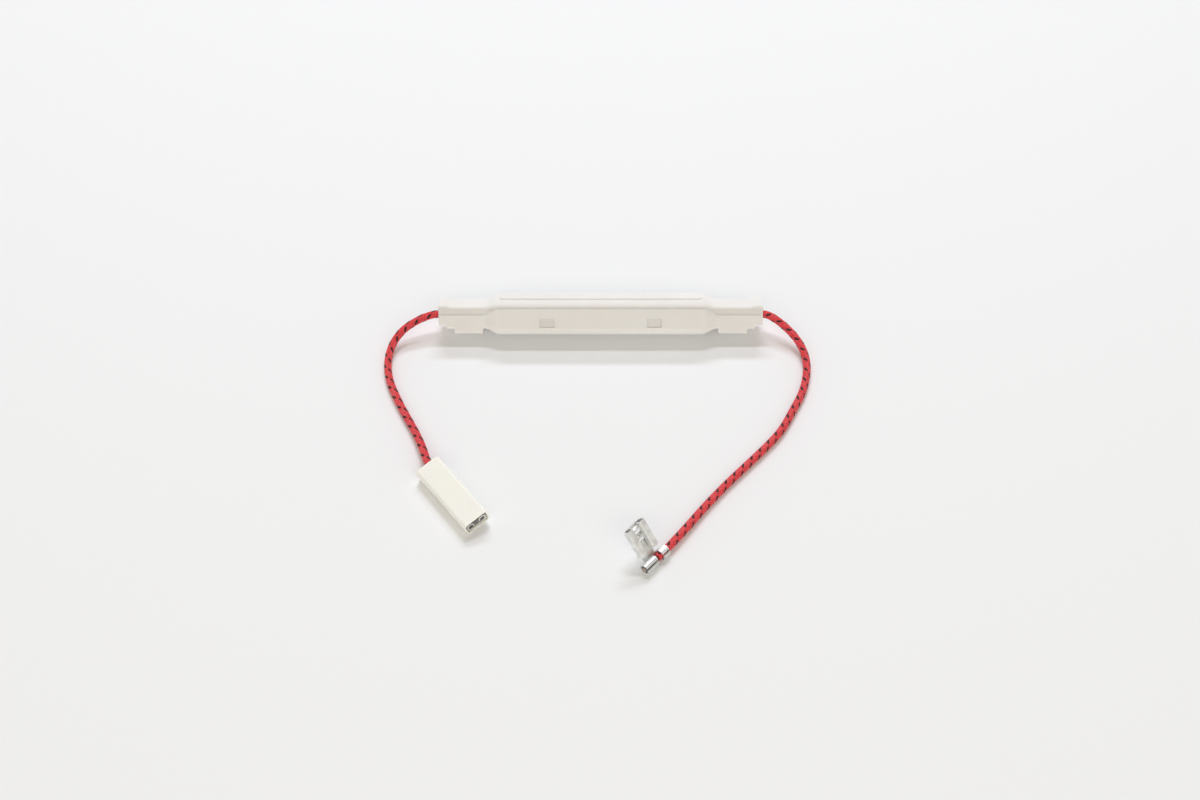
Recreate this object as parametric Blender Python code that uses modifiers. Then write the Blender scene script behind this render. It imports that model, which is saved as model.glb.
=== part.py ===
"""Microwave oven high voltage fuse, in metres with +Z up.

A spring fuse lies in two crimped clips inside a snap-together case. A braided lead leaves each neck of the
case: the left one ends in a push-on terminal inside an insulating sleeve, the right one in a bare flag
terminal. The case lies rolled back on its rounded lower edge, and its leads keep it there.
"""

import math
from collections import namedtuple

import bmesh
import bpy
from mathutils import Matrix, Vector

# Gaps between pieces: moulded parts, and metal on what it grips
FIT = 0.0003
SNUG = 0.0002
# Gap along the seam between lid and base, and round each catch
SEAM = 0.00012
# Step between joined shapes, which keeps two of their faces out of one plane
LAP = 0.00002

# Case, measured from its own axis, which is also the axis of the fuse and the leads
BARREL_LENGTH = 0.0604
SHOULDER_LENGTH = 0.0046
NOTCH_LENGTH = 0.0006
TAB_LENGTH = 0.0083
STEP_LENGTH = 0.0024
END_LENGTH = 0.0023
CROWN_DROP = 0.0012
SEAM_DROP = 0.0015
BARREL_CORNER = 0.0030
CROWN_WIDTH = 0.0048
SIDE_ROOM = 0.0011
TOP_ROOM = 0.0008
BOTTOM_ROOM = 0.0009
NECK_WIDTH = 0.0082
NECK_TOP = 0.0035
NECK_EDGE = 0.0006
NECK_SEAM = 0.0011
NECK_CORNER = 0.0006
NOTCH_DEPTH = 0.0032
TAB_DEPTH = 0.0048
STEP_DEPTH = 0.0033
END_FLOOR = 0.0008
COLLAR_RISE = 0.0004
COLLAR_SLOPE = 0.0014
NOSE = 0.0005
RISER = 0.0001
WALL = 0.0009
PLATEAU_WIDTH = 0.0042
PLATEAU_RISE = 0.0004
PLATEAU_CORNER = 0.0012

# Catches: a barbed tongue on the lid behind each window in the base
CATCH_SPACING = 0.0320
WINDOW_WIDTH = 0.0045
WINDOW_TOP = 0.0005
WINDOW_HEIGHT = 0.0029
TONGUE_THICKNESS = 0.0006
BARB_RECESS = 0.0002
BARB_FACE = 0.0021

# Ribs in the case: one pair under the glass, one pair in each neck under the lead
RIB = 0.0008
TUBE_RIB_SET_BACK = 0.0028
LEAD_RIB_INSET = 0.0030
TUBE_RIB_DROP = 0.0015

# Fuse
CAP_RADIUS = 0.0030
CAP_LENGTH = 0.0062
CAP_WALL = 0.00025
FUSE_LENGTH = 0.0400
GLASS_WALL = 0.0005
SPRING_RADIUS = 0.0013
SPRING_WIRE = 0.00035
SPRING_TURNS = 13
SPRING_LENGTH = 0.0140
JOINT_RADIUS = 0.0006
FUSE_WIRE = 0.0003
SOLDER_RADIUS = 0.0010
SOLDER_RISE = 0.0004

# Leads and crimps
LEAD_RADIUS = 0.00113
CORE_RADIUS = 0.00075
SHEET = 0.0004
CRIMP_STRIP = 0.0020
CRIMP_RAMP = 0.0006
SEAM_GAP = 0.0002
CLIP_SHEET = 0.0003
CLIP_BAND = 0.0044
CLIP_SET_BACK = 0.0008
CLIP_OPENING = math.radians(50)
CLIP_LIP = 0.00015
CLIP_TAIL = 0.0018
CLIP_RAMP = 0.0020
CLIP_CRIMP = 0.0040
CLIP_GRIP = 0.0030
CLIP_GRIP_GAP = 0.0012

# Straight terminal in its sleeve, along the sleeve's axis from its middle
SLEEVE_LENGTH = 0.0240
SLEEVE_WIDTH = 0.0077
SLEEVE_HEIGHT = 0.0046
SLEEVE_CORNER = 0.0010
SLEEVE_WALL = 0.0004
MOUTH_SET_BACK = 0.0004
SPADE_WIDTH = 0.0061
SPADE_LENGTH = 0.0064
SPADE_CURL = 0.0011
SPADE_NECK = 0.0014
SPADE_CRIMP = 0.0034
SPADE_GRIP = 0.0028
GRIP_GAP = 0.0010

# Rolled edges of both receptacles: corner over height, and the lip's distance from the floor
CURL_ROUNDNESS = 0.55
CURL_CLEARANCE = 0.0002

# Flag terminal, along the lead's axis from its open end, and across it towards the mouth
FLAG_WIDTH = 0.0071
FLAG_LENGTH = 0.0084
FLAG_CURL = 0.0012
FLAG_START = 0.0006
FLAG_SET_OFF = 0.0033
FLAG_CRIMP = 0.0044
FLAG_GRIP = 0.0026
FLAG_GRIP_GAP = 0.0019
FLAG_BRIDGE = 0.0056
LOUVRE_WIDTH = 0.0028
LOUVRE_SLOT = 0.0012
LOUVRE_PITCH = 0.0024
LOUVRE_FIRST = 0.0017
LOUVRE_LENGTH = 0.0008
LOUVRE_RISE = 0.0005

# How the object lies on the table
CASE_ROLL = math.radians(27.5)
SLEEVE_PLACE = (-0.0411, -0.0657)
SLEEVE_HEADING = math.radians(-52.8)
SLEEVE_ROLL = math.radians(13)
FLAG_PLACE = (0.0118, -0.0899)
FLAG_HEADING = math.radians(48.5)
FLAG_LIFT = math.radians(51)

# Route of each lead between its neck and its terminal
LEFT_BENDS = [
    (-0.0512, -0.0007, 0.0061),
    (-0.0552, -0.0024, 0.0055),
    (-0.0594, -0.0051, 0.0041),
    (-0.0623, -0.0093, 0.0024),
    (-0.0633, -0.0152, 0.0014),
    (-0.0622, -0.0223, 0.0012),
    (-0.0592, -0.0300, 0.0012),
    (-0.0561, -0.0364, 0.0012),
    (-0.0533, -0.0420, 0.0014),
    (-0.0508, -0.0481, 0.0020),
    (-0.0493, -0.0526, 0.0024),
]
RIGHT_BENDS = [
    (0.0510, -0.0009, 0.0060),
    (0.0548, -0.0036, 0.0050),
    (0.0586, -0.0077, 0.0034),
    (0.0608, -0.0126, 0.0020),
    (0.0611, -0.0185, 0.0013),
    (0.0593, -0.0264, 0.0012),
    (0.0559, -0.0338, 0.0012),
    (0.0517, -0.0417, 0.0012),
    (0.0464, -0.0484, 0.0012),
    (0.0404, -0.0551, 0.0012),
    (0.0344, -0.0619, 0.0012),
    (0.0288, -0.0688, 0.0013),
    (0.0239, -0.0754, 0.0015),
]
LEAD_POINT_SPACING = 2 * 2 * LEAD_RADIUS

# Steps in curves
DOME_STEPS = 5
CORNER_STEPS = 6
SHOULDER_STEPS = 6
ROUND_STEPS = 32
CURL_STEPS = 10
SPRING_STEPS = 12

# Worked out from the above
CLIP_OUTER = CAP_RADIUS + SNUG + CLIP_SHEET
BARREL_WIDTH = 2 * (CLIP_OUTER + SIDE_ROOM + WALL)
BARREL_CROWN = CLIP_OUTER + TOP_ROOM + WALL
BARREL_DEPTH = CLIP_OUTER + BOTTOM_ROOM + WALL
BARREL_EDGE = BARREL_CROWN - CROWN_DROP
BARREL_SEAM = BARREL_CROWN - SEAM_DROP
TUBE_RIB_SPACING = FUSE_LENGTH - 2 * (CAP_LENGTH + TUBE_RIB_SET_BACK)
CASE_HALF = BARREL_LENGTH / 2 + SHOULDER_LENGTH + NOTCH_LENGTH + TAB_LENGTH + STEP_LENGTH + END_LENGTH
NOTCH_END = BARREL_LENGTH / 2 + SHOULDER_LENGTH + NOTCH_LENGTH
TAB_END = NOTCH_END + TAB_LENGTH
STEP_END = TAB_END + STEP_LENGTH
BORE_RADIUS = LEAD_RADIUS + FIT
GLASS_RADIUS = CAP_RADIUS - CAP_WALL - SNUG
CRIMP_INNER = CORE_RADIUS + SNUG + SEAM_GAP
GRIP_INNER = LEAD_RADIUS + SNUG
CLIP_INNER = CAP_RADIUS + SNUG
CLIP_BAND_END = FUSE_LENGTH / 2 - CLIP_SET_BACK
CLIP_CRIMP_START = CLIP_BAND_END + CLIP_TAIL + CLIP_RAMP
CLIP_LEAD_START = CLIP_CRIMP_START + CLIP_CRIMP + CRIMP_RAMP + SNUG
TONGUE_OUTER = BARREL_WIDTH / 2 - WALL - FIT

Section = namedtuple("Section", "half_width crown_half crown edge bottom radius")
BARREL = Section(
    BARREL_WIDTH / 2, CROWN_WIDTH / 2, BARREL_CROWN, BARREL_EDGE, -BARREL_DEPTH, BARREL_CORNER
)


def neck_section(depth):
    half = NECK_WIDTH / 2
    return Section(half, half - NECK_EDGE, NECK_TOP, NECK_TOP - NECK_EDGE, -depth, NECK_CORNER)


def inset(section, wall):
    """The same section with each wall moved in."""
    return Section(
        section.half_width - wall,
        section.crown_half - wall / 2,
        section.crown - wall,
        section.edge - wall / 2,
        section.bottom + wall,
        max(section.radius - wall, NECK_CORNER / 2),
    )


def raised(section, rise):
    """The same section with its top higher."""
    return section._replace(crown=section.crown + rise, edge=section.edge + rise)


def mixed(first, second, share):
    return Section(*(a + (b - a) * share for a, b in zip(first, second)))


def ring(section):
    """One cross-section of the case, as (y, z) points from the crown round the bottom and back."""
    dome_width = section.half_width - section.crown_half
    dome_height = section.crown - section.edge
    half = []
    for step in range(DOME_STEPS + 1):
        turn = math.pi / 2 * step / DOME_STEPS
        y = section.crown_half + dome_width * math.sin(turn)
        z = section.edge + dome_height * math.cos(turn)
        half.append((y, z))
    for step in range(CORNER_STEPS + 1):
        turn = math.pi / 2 * step / CORNER_STEPS
        y = section.half_width - section.radius * (1 - math.cos(turn))
        z = section.bottom + section.radius * (1 - math.sin(turn))
        half.append((y, z))
    return half + [(-y, z) for y, z in reversed(half)]


def case_stations(wall):
    """Pairs of distance from the middle and section, out to the tip.

    Without a wall they give the outside of the case, and with one its hollow.
    """
    notch = neck_section(NOTCH_DEPTH)
    tab = neck_section(TAB_DEPTH)
    step = neck_section(STEP_DEPTH)
    stations = []
    for count in range(SHOULDER_STEPS + 1):
        share = count / SHOULDER_STEPS
        eased = (1 - math.cos(math.pi * share)) / 2
        stations.append((BARREL_LENGTH / 2 + SHOULDER_LENGTH * share, mixed(BARREL, notch, eased)))
    stations += [
        (NOTCH_END + wall, notch),
        (NOTCH_END + wall + RISER, tab),
        (TAB_END - wall, tab),
        (TAB_END - wall + RISER, step),
        (STEP_END - wall - COLLAR_SLOPE, step),
    ]
    if wall:
        stations.append((STEP_END - wall, step))
    else:
        end = raised(neck_section(BORE_RADIUS + END_FLOOR), COLLAR_RISE)
        stations += [
            (STEP_END, raised(step, COLLAR_RISE)),
            (STEP_END + RISER, end),
            (CASE_HALF - NOSE, end),
            (CASE_HALF - NOSE / 3, inset(end, NOSE / 4)),
            (CASE_HALF, inset(end, NOSE)),
        ]
    return [(x, inset(section, wall) if wall else section) for x, section in stations]


def seam_outline(lift, far):
    """The line where base and lid meet, closed round the side given by far, as (x, z) points."""
    inner = BARREL_LENGTH / 2 + NOSE
    outer = BARREL_LENGTH / 2 + SHOULDER_LENGTH
    beyond = CASE_HALF + WALL
    line = [(-beyond, NECK_SEAM), (-outer, NECK_SEAM), (-inner, BARREL_SEAM)]
    line += [(-x, z) for x, z in reversed(line)]
    return [(x, z + lift) for x, z in line] + [(beyond, far), (-beyond, far)]


def clear_scene():
    for obj in list(bpy.data.objects):
        bpy.data.objects.remove(obj, do_unlink=True)


def new_collection(name):
    collection = bpy.data.collections.new(name)
    bpy.context.scene.collection.children.link(collection)
    return collection


def new_frame(name, collection, matrix):
    """An empty that carries a group of pieces at its place and angle."""
    empty = bpy.data.objects.new(name, None)
    empty.matrix_world = matrix
    collection.objects.link(empty)
    return empty


def new_material(name, color, roughness, metallic=0.0, transmission=0.0):
    material = bpy.data.materials.new(name)
    material.use_nodes = True
    shader = material.node_tree.nodes["Principled BSDF"]
    shader.inputs["Base Color"].default_value = (*color, 1.0)
    shader.inputs["Roughness"].default_value = roughness
    shader.inputs["Metallic"].default_value = metallic
    shader.inputs["Transmission Weight"].default_value = transmission
    return material


def new_object(name, mesh, home, parent=None):
    obj = bpy.data.objects.new(name, mesh)
    home.objects.link(obj)
    obj.parent = parent
    return obj


def finish_piece(obj, material, smooth=False):
    obj.data.materials.append(material)
    if smooth:
        obj.data.shade_smooth()
        obj.data.set_sharp_from_angle(angle=math.radians(35))


def set_as_cutter(obj):
    obj.hide_render = True
    obj.display_type = "WIRE"


def join(obj, other, operation):
    """A Boolean on the object with a helper mesh."""
    modifier = obj.modifiers.new(other.name, "BOOLEAN")
    modifier.operation = operation
    modifier.object = other


def mesh_from_curve(guide, home, parent):
    """The evaluated mesh of a curve, its caps welded, as a new object under the parent."""
    bpy.context.view_layer.update()
    graph = bpy.context.evaluated_depsgraph_get()
    mesh = bpy.data.meshes.new_from_object(guide.evaluated_get(graph))
    bm = bmesh.new()
    bm.from_mesh(mesh)
    bmesh.ops.transform(bm, matrix=guide.matrix_world, verts=bm.verts)
    bmesh.ops.remove_doubles(bm, verts=bm.verts, dist=1e-6)
    bmesh.ops.recalc_face_normals(bm, faces=bm.faces)
    bm.to_mesh(mesh)
    bm.free()
    name = guide.name
    bpy.data.objects.remove(guide, do_unlink=True)
    obj = new_object(name, mesh, home, parent)
    obj.name = name
    return obj


# Axes that an outline's two directions and its thickness lie along
OUTLINE_AXES = {
    "X": Matrix(((0, 0, 1, 0), (1, 0, 0, 0), (0, 1, 0, 0), (0, 0, 0, 1))),
    "Y": Matrix(((1, 0, 0, 0), (0, 0, -1, 0), (0, 1, 0, 0), (0, 0, 0, 1))),
    "Z": Matrix.Identity(4),
}
# An outline is filled at a thousand times its size, because the fill merges points 0.03 mm apart
DRAWING_SCALE = 1000


def plate(name, outline, low, high, axis, home, parent=None):
    """A flat outline made thick: (y, z) along X, (x, z) along Y or (x, y) along Z, from low to high."""
    curve = bpy.data.curves.new(name, "CURVE")
    curve.dimensions = "2D"
    curve.fill_mode = "BOTH"
    curve.extrude = (high - low) / 2 * DRAWING_SCALE
    spline = curve.splines.new("POLY")
    spline.points.add(len(outline) - 1)
    for point, (u, v) in zip(spline.points, outline):
        point.co = (u * DRAWING_SCALE, v * DRAWING_SCALE, 0, 1)
    spline.use_cyclic_u = True
    guide = bpy.data.objects.new(name, curve)
    home.objects.link(guide)
    middle = (low + high) / 2 * (-1 if axis == "Y" else 1)
    guide.matrix_world = (
        OUTLINE_AXES[axis] @ Matrix.Translation((0, 0, middle)) @ Matrix.Scale(1 / DRAWING_SCALE, 4)
    )
    return mesh_from_curve(guide, home, parent)


def box(name, low, high, home, parent=None):
    bm = bmesh.new()
    bmesh.ops.create_cube(bm, size=1.0)
    size = [b - a for a, b in zip(low, high)]
    centre = [(a + b) / 2 for a, b in zip(low, high)]
    bmesh.ops.scale(bm, vec=size, verts=bm.verts)
    bmesh.ops.translate(bm, vec=centre, verts=bm.verts)
    mesh = bpy.data.meshes.new(name)
    bm.to_mesh(mesh)
    bm.free()
    return new_object(name, mesh, home, parent)


def rod(name, radius, low, high, home, parent=None):
    """A round rod along X."""
    bm = bmesh.new()
    bmesh.ops.create_cone(
        bm, cap_ends=True, segments=ROUND_STEPS, radius1=radius, radius2=radius, depth=high - low
    )
    turn = Matrix.Rotation(math.pi / 2, 4, "Y")
    bmesh.ops.transform(bm, matrix=Matrix.Translation(((low + high) / 2, 0, 0)) @ turn, verts=bm.verts)
    mesh = bpy.data.meshes.new(name)
    bm.to_mesh(mesh)
    bm.free()
    return new_object(name, mesh, home, parent)


def loft(name, stations, home, parent=None):
    """A closed skin through rings of (y, z) points, each at its own x."""
    bm = bmesh.new()
    rings = [[bm.verts.new((x, y, z)) for y, z in points] for x, points in stations]
    count = len(rings[0])
    for first, second in zip(rings, rings[1:]):
        for k in range(count):
            after = (k + 1) % count
            bm.faces.new((first[k], first[after], second[after], second[k]))
    bm.faces.new(rings[0])
    bm.faces.new(rings[-1])
    bmesh.ops.recalc_face_normals(bm, faces=bm.faces)
    mesh = bpy.data.meshes.new(name)
    bm.to_mesh(mesh)
    bm.free()
    return new_object(name, mesh, home, parent)


def turned(name, profile, closed, home, parent, outward):
    """A profile of (radius, height) points turned about the case's axis, its height pointing outward."""
    mesh = bpy.data.meshes.new(name)
    count = len(profile)
    edges = [(k, k + 1) for k in range(count - 1)]
    if closed:
        edges.append((count - 1, 0))
    mesh.from_pydata([(radius, 0, height) for radius, height in profile], edges, [])
    obj = new_object(name, mesh, home, parent)
    obj.rotation_euler = (0, math.copysign(math.pi / 2, outward), 0)
    screw = obj.modifiers.new("turn", "SCREW")
    screw.steps = ROUND_STEPS
    screw.render_steps = ROUND_STEPS
    screw.use_merge_vertices = True
    screw.merge_threshold = 1e-6
    screw.use_smooth_shade = True
    return obj


def tube(name, points, radius, resolution, home, parent=None):
    """A wire or lead along the given points."""
    curve = bpy.data.curves.new(name, "CURVE")
    curve.dimensions = "3D"
    curve.bevel_depth = radius
    curve.bevel_resolution = resolution
    curve.use_fill_caps = True
    spline = curve.splines.new("POLY")
    spline.points.add(len(points) - 1)
    for point, place in zip(spline.points, points):
        point.co = (*place, 1)
    return new_object(name, curve, home, parent)


def ribbon(path, thickness):
    """The outline of a strip of sheet whose middle follows the path, with mitred bends."""
    points = [Vector(point) for point in path]
    left, right = [], []
    for k, point in enumerate(points):
        before = (point - points[k - 1]).normalized() if k else None
        after = (points[k + 1] - point).normalized() if k + 1 < len(points) else None
        along = ((before or after) + (after or before)).normalized()
        side = Vector((-along.y, along.x))
        reach = thickness / 2 / along.dot(after or before)
        left.append(tuple(point + side * reach))
        right.append(tuple(point - side * reach))
    return left + right[::-1]


def arc(centre, radius, start, end, steps):
    """Points on an arc, by angle from the first axis towards the second."""
    points = []
    for step in range(steps + 1):
        turn = start + (end - start) * step / steps
        points.append((centre[0] + radius * math.cos(turn), centre[1] + radius * math.sin(turn)))
    return points


def catmull_rom(before, start, end, after, share):
    """A point on the smooth curve between start and end."""
    square = share * share
    cube = square * share
    return (
        start * 2
        + (end - before) * share
        + (before * 2 - start * 5 + end * 4 - after) * square
        + (start * 3 - before - end * 3 + after) * cube
    ) / 2


def smooth_route(points, spacing):
    """Points about one spacing apart on a smooth curve through the given ones."""
    nodes = [Vector(point) for point in points]
    nodes = [nodes[0] * 2 - nodes[1]] + nodes + [nodes[-1] * 2 - nodes[-2]]
    route = [nodes[1]]
    for k in range(1, len(nodes) - 2):
        steps = max(1, round((nodes[k + 1] - nodes[k]).length / spacing))
        for step in range(1, steps + 1):
            route.append(catmull_rom(*nodes[k - 1 : k + 3], step / steps))
    return route


# Case

def case_frame_matrix():
    """The case's own frame: rolled back, centred over the origin, its lowest edge on the table."""
    roll = Matrix.Rotation(-CASE_ROLL, 4, "X")
    corners = [roll @ Vector((0, y, z)) for y, z in ring(BARREL)]
    across = [corner.y for corner in corners]
    middle = (min(across) + max(across)) / 2
    return Matrix.Translation((0, -middle, -min(corner.z for corner in corners))) @ roll


def case_loft(name, wall, home, parent):
    half = [(x, ring(section)) for x, section in case_stations(wall)]
    return loft(name, [(-x, points) for x, points in reversed(half)] + half, home, parent)


def saddle_outline(radius, top, far):
    """A rib across the case with a round seat for what lies on the axis; far is its buried edge."""
    half = BARREL_WIDTH / 2
    side = math.copysign(1, top - far) or 1
    seat = [(y, -side * z) for y, z in arc((0, 0), radius, 0, math.pi, ROUND_STEPS // 2)]
    return [(-half, far), (half, far), (half, top), (radius, top)] + seat + [(-radius, top), (-half, top)]


def lead_rib_places():
    return [TAB_END - LEAD_RIB_INSET, NOTCH_END + LEAD_RIB_INSET]


def base_ribs(home, parent):
    """Saddles that rise from the floor of the base, under the glass and under each lead."""
    for side in (-1, 1):
        x = side * TUBE_RIB_SPACING / 2
        outline = saddle_outline(GLASS_RADIUS + FIT, BARREL_SEAM - TUBE_RIB_DROP, -BARREL_DEPTH)
        yield plate(f"tube_saddle_{side}", outline, x - RIB / 2, x + RIB / 2, "X", home, parent)
        for place in lead_rib_places():
            x = side * place
            outline = saddle_outline(BORE_RADIUS, NECK_SEAM - FIT, -BARREL_DEPTH)
            name = f"lead_saddle_{side}_{place:.4f}"
            yield plate(name, outline, x - RIB / 2, x + RIB / 2, "X", home, parent)


def lid_ribs(home, parent):
    """Bars under the lid that hold the glass and the leads down."""
    half = BARREL_WIDTH / 2
    for side in (-1, 1):
        x = side * TUBE_RIB_SPACING / 2
        low = (x - RIB / 2, -half, GLASS_RADIUS + FIT)
        high = (x + RIB / 2, half, BARREL_CROWN)
        yield box(f"tube_bar_{side}", low, high, home, parent)
        for place in lead_rib_places():
            x = side * place
            low = (x - RIB / 2, -half, BORE_RADIUS)
            high = (x + RIB / 2, half, NECK_TOP)
            yield box(f"lead_bar_{side}_{place:.4f}", low, high, home, parent)


def case_hollow(name, ribs, home, parent):
    """The inside of one half of the case, less its ribs."""
    hollow = case_loft(name, WALL, home, parent)
    for rib in ribs:
        join(hollow, rib, "DIFFERENCE")
        set_as_cutter(rib)
    set_as_cutter(hollow)
    return hollow


def catch_places():
    return [(side_x * CATCH_SPACING / 2, side_y) for side_x in (-1, 1) for side_y in (-1, 1)]


def cut_windows(base, home, parent):
    half = BARREL_WIDTH / 2
    for x, side in catch_places():
        inner = side * (half - WALL - FIT)
        outer = side * (half + WALL)
        low = (x - WINDOW_WIDTH / 2, min(inner, outer), WINDOW_TOP - WINDOW_HEIGHT)
        high = (x + WINDOW_WIDTH / 2, max(inner, outer), WINDOW_TOP)
        window = box(f"window_{x:.3f}_{side}", low, high, home, parent)
        set_as_cutter(window)
        join(base, window, "DIFFERENCE")


def add_tongues(lid, home, parent):
    """Barbed tongues that reach down behind the windows and hook into them."""
    inner = TONGUE_OUTER - TONGUE_THICKNESS
    hook = BARREL_WIDTH / 2 - BARB_RECESS
    catch = WINDOW_TOP - SEAM
    tip = WINDOW_TOP - WINDOW_HEIGHT + SEAM
    root = (BARREL_SEAM + BARREL_CROWN) / 2
    width = WINDOW_WIDTH - 2 * SEAM
    profile = [
        (inner, root),
        (inner, tip),
        (TONGUE_OUTER, tip),
        (hook, catch - BARB_FACE),
        (hook, catch),
        (TONGUE_OUTER, catch),
        (TONGUE_OUTER, root),
    ]
    for x, side in catch_places():
        outline = [(side * y, z) for y, z in profile]
        tongue = plate(f"tongue_{x:.3f}_{side}", outline, x - width / 2, x + width / 2, "X", home, parent)
        set_as_cutter(tongue)
        join(lid, tongue, "UNION")


def rounded_outline(half_length, half_width, corner, steps):
    centres = ((1, 1, 0), (-1, 1, 1), (-1, -1, 2), (1, -1, 3))
    outline = []
    for side_x, side_y, quarter in centres:
        centre = (side_x * (half_length - corner), side_y * (half_width - corner))
        start = quarter * math.pi / 2
        outline += arc(centre, corner, start, start + math.pi / 2, steps)
    return outline


def add_case(parts, cutters, frame, materials):
    bores = []
    for side in (-1, 1):
        ends = sorted((side * (STEP_END - WALL - RIB), side * (CASE_HALF + WALL)))
        bore = rod(f"lead_bore_{side}", BORE_RADIUS, *ends, cutters, frame)
        set_as_cutter(bore)
        bores.append(bore)

    base = case_loft("case_base", 0, parts, frame)
    join(base, case_hollow("base_hollow", base_ribs(cutters, frame), cutters, frame), "DIFFERENCE")
    wide = BARREL_WIDTH
    above = plate("above_seam", seam_outline(0, 2 * BARREL_CROWN), -wide, wide, "Y", cutters, frame)
    set_as_cutter(above)
    join(base, above, "DIFFERENCE")
    cut_windows(base, cutters, frame)

    lid = case_loft("case_lid", 0, parts, frame)
    join(lid, case_hollow("lid_hollow", lid_ribs(cutters, frame), cutters, frame), "DIFFERENCE")
    below = plate("below_seam", seam_outline(SEAM, -2 * BARREL_DEPTH), -wide, wide, "Y", cutters, frame)
    set_as_cutter(below)
    join(lid, below, "DIFFERENCE")
    outline = rounded_outline(BARREL_LENGTH / 2, PLATEAU_WIDTH / 2, PLATEAU_CORNER, CORNER_STEPS)
    top = BARREL_CROWN + PLATEAU_RISE
    plateau = plate("plateau", outline, BARREL_CROWN - WALL / 2, top, "Z", cutters, frame)
    set_as_cutter(plateau)
    join(lid, plateau, "UNION")
    add_tongues(lid, cutters, frame)

    for half in (base, lid):
        for bore in bores:
            join(half, bore, "DIFFERENCE")
        finish_piece(half, materials["nylon"])


# Fuse

def add_fuse(parts, frame, materials):
    glass_half = FUSE_LENGTH / 2 - CAP_WALL - SNUG
    inner = GLASS_RADIUS - GLASS_WALL
    wall = [(GLASS_RADIUS, glass_half), (GLASS_RADIUS, -glass_half)]
    wall += [(inner, -glass_half), (inner, glass_half)]
    glass = turned("fuse_tube", wall, True, parts, frame, 1)
    finish_piece(glass, materials["glass"])

    outer = FUSE_LENGTH / 2
    cap_inner = CAP_RADIUS - CAP_WALL
    cup = [(0, outer), (CAP_RADIUS - CAP_WALL, outer), (CAP_RADIUS, outer - CAP_WALL)]
    cup += [(CAP_RADIUS, outer - CAP_LENGTH), (cap_inner, outer - CAP_LENGTH)]
    cup += [(cap_inner, outer - CAP_WALL), (0, outer - CAP_WALL)]
    seat = outer + SNUG
    drop = [(0, seat + SOLDER_RISE)]
    for step in range(1, DOME_STEPS):
        turn = math.pi / 2 * step / DOME_STEPS
        drop.append((SOLDER_RADIUS * math.sin(turn), seat + SOLDER_RISE * math.cos(turn)))
    drop += [(SOLDER_RADIUS, seat), (0, seat)]
    for name, side in (("left", -1), ("right", 1)):
        finish_piece(turned(f"{name}_end_cap", cup, False, parts, frame, side), materials["nickel"])
        finish_piece(turned(f"{name}_solder_drop", drop, False, parts, frame, side), materials["solder"])

    add_fuse_element(parts, frame, materials, outer - CAP_WALL - SNUG)


def add_fuse_element(parts, frame, materials, reach):
    """The stretched spring, the solder joint that lets it go, and the fine wire to the far cap."""
    coil_start = -reach + SPRING_RADIUS
    coil_end = coil_start + SPRING_LENGTH
    count = SPRING_TURNS * SPRING_STEPS
    points = [(-reach, 0, 0)]
    for step in range(count + 1):
        share = step / count
        turn = 2 * math.pi * step / SPRING_STEPS
        radius = SPRING_RADIUS * min(1, step / SPRING_STEPS, (count - step) / SPRING_STEPS)
        x = coil_start + SPRING_LENGTH * share
        points.append((x, radius * math.cos(turn), radius * math.sin(turn)))
    points.append((coil_end + SPRING_RADIUS, 0, 0))
    spring = tube("tension_spring", points, SPRING_WIRE / 2, 1, parts, frame)
    finish_piece(spring, materials["steel"])

    centre = coil_end + SPRING_RADIUS + SNUG + JOINT_RADIUS
    mesh = bpy.data.meshes.new("solder_joint")
    bm = bmesh.new()
    bmesh.ops.create_uvsphere(
        bm, u_segments=ROUND_STEPS // 2, v_segments=CURL_STEPS, radius=JOINT_RADIUS
    )
    bm.to_mesh(mesh)
    bm.free()
    joint = new_object("solder_joint", mesh, parts, frame)
    joint.location = (centre, 0, 0)
    finish_piece(joint, materials["solder"], smooth=True)

    wire = rod("fuse_wire", FUSE_WIRE / 2, centre + JOINT_RADIUS + SNUG, reach, parts, frame)
    finish_piece(wire, materials["copper"], smooth=True)


# Crimped terminals

def crimp_ring(name, inner, sheet, low, high, home, parent):
    """A strip of sheet rolled into a barrel along X, its two edges turned in along the seam on top."""
    middle = inner + sheet / 2
    opening = math.asin((SEAM_GAP / 2 + sheet / 2) / middle)
    dip = Vector((math.sin(opening), math.cos(opening))) * (middle - SEAM_GAP)
    path = arc((0, 0), middle, math.pi / 2 - 2 * opening, -3 * math.pi / 2 + 2 * opening, 2 * CURL_STEPS)
    path = [(dip.x, dip.y)] + path + [(-dip.x, dip.y)]
    return plate(name, ribbon(path, sheet), low, high, "X", home, parent)


def crimp_barrel(name, sheet, crimp, grip, gap, home, parent):
    """Two crimps along X: on the bare core from 0 to crimp, and on the lead from crimp + gap for grip."""
    core_middle = -(CRIMP_INNER + sheet / 2)
    lead_middle = -(GRIP_INNER + sheet / 2)
    core_ring = crimp_ring(f"{name}_core_ring", CRIMP_INNER, sheet, 0, crimp, home, parent)
    grip_low, grip_high = crimp + gap, crimp + gap + grip
    lead_ring = crimp_ring(f"{name}_lead_ring", GRIP_INNER, sheet, grip_low, grip_high, home, parent)
    overlap = sheet
    path = [
        (crimp - overlap, core_middle),
        (crimp, core_middle),
        (crimp + CRIMP_RAMP, lead_middle),
        (crimp + gap + overlap, lead_middle),
    ]
    half = CRIMP_STRIP / 2
    strip = plate(f"{name}_strip", ribbon(path, sheet), -half, half, "Y", home, parent)
    return [core_ring, lead_ring, strip]


def fuse_all(name, shapes, home, parent):
    """One piece from overlapping shapes: the first becomes the piece, the others are joined to it."""
    first = shapes[0]
    mesh = first.data.copy()
    obj = new_object(name, mesh, home, parent)
    obj.matrix_local = first.matrix_local
    bpy.data.objects.remove(first, do_unlink=True)
    for other in shapes[1:]:
        set_as_cutter(other)
        join(obj, other, "UNION")
    return obj


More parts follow.
